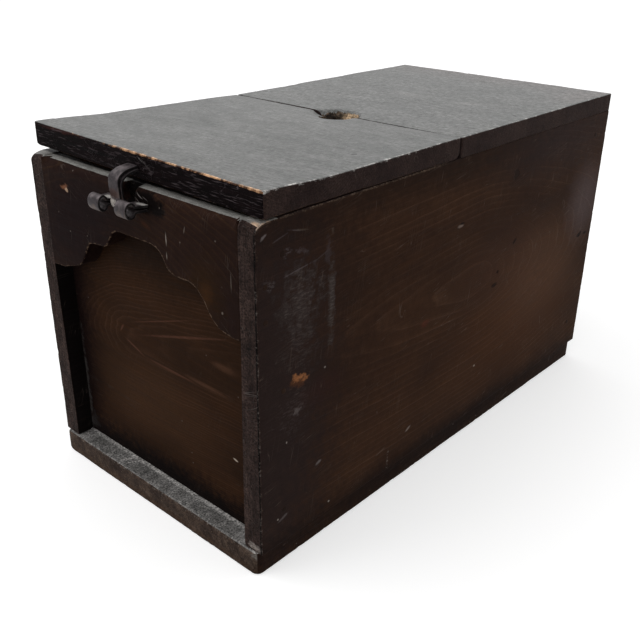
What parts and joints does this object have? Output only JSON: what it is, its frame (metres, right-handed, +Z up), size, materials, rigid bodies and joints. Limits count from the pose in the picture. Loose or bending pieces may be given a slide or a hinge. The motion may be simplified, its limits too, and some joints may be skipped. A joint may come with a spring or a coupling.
{
  "type": "wooden storage chest",
  "caption": "Long box-shaped wooden chest with a recessed front under a scalloped apron, a fixed rear top, a tipping front lid, a coin hole through the seam and an iron hasp between staples.",
  "frame": {"origin": "centre of the chest's underside, midway between the side boards and between their front and back ends", "axes": "+X to the right as seen from the front, -Y out of the scalloped front, +Z up"},
  "size_m": [0.2886, 0.5752, 0.33],
  "materials": {
    "stained_wood": "dark brown stain, worn satin",
    "weathered_wood": "grey-black weathered stain, worn satin",
    "iron": "wrought strip, dark with brown rust",
    "peg_wood": "dark stained peg ends"
  },
  "bodies": {
    "carcass": {"bottom_board": "stained_wood", "side_board_left": "stained_wood", "side_board_right": "stained_wood", "front_panel": "stained_wood", "front_apron": "stained_wood", "back_board": "stained_wood", "rear_top_board": "weathered_wood", "staple_left": "iron", "staple_right": "iron", "apron_pegs": "peg_wood", "panel_pegs": "peg_wood", "back_pegs": "peg_wood", "bottom_pegs": "peg_wood", "rear_top_pegs": "peg_wood"},
    "lid": {"lid_board": "weathered_wood", "lid_batten_left": "stained_wood", "lid_batten_right": "stained_wood", "hasp": "iron", "lid_pegs": "peg_wood"}
  },
  "joints": [
    {"name": "lid_tilt", "type": "hinge", "parent": "carcass", "child": "lid", "pos_m": [0, -0.026, 0.33], "axis": [-1, 0, 0], "range_deg": [0, 80]}
  ]
}
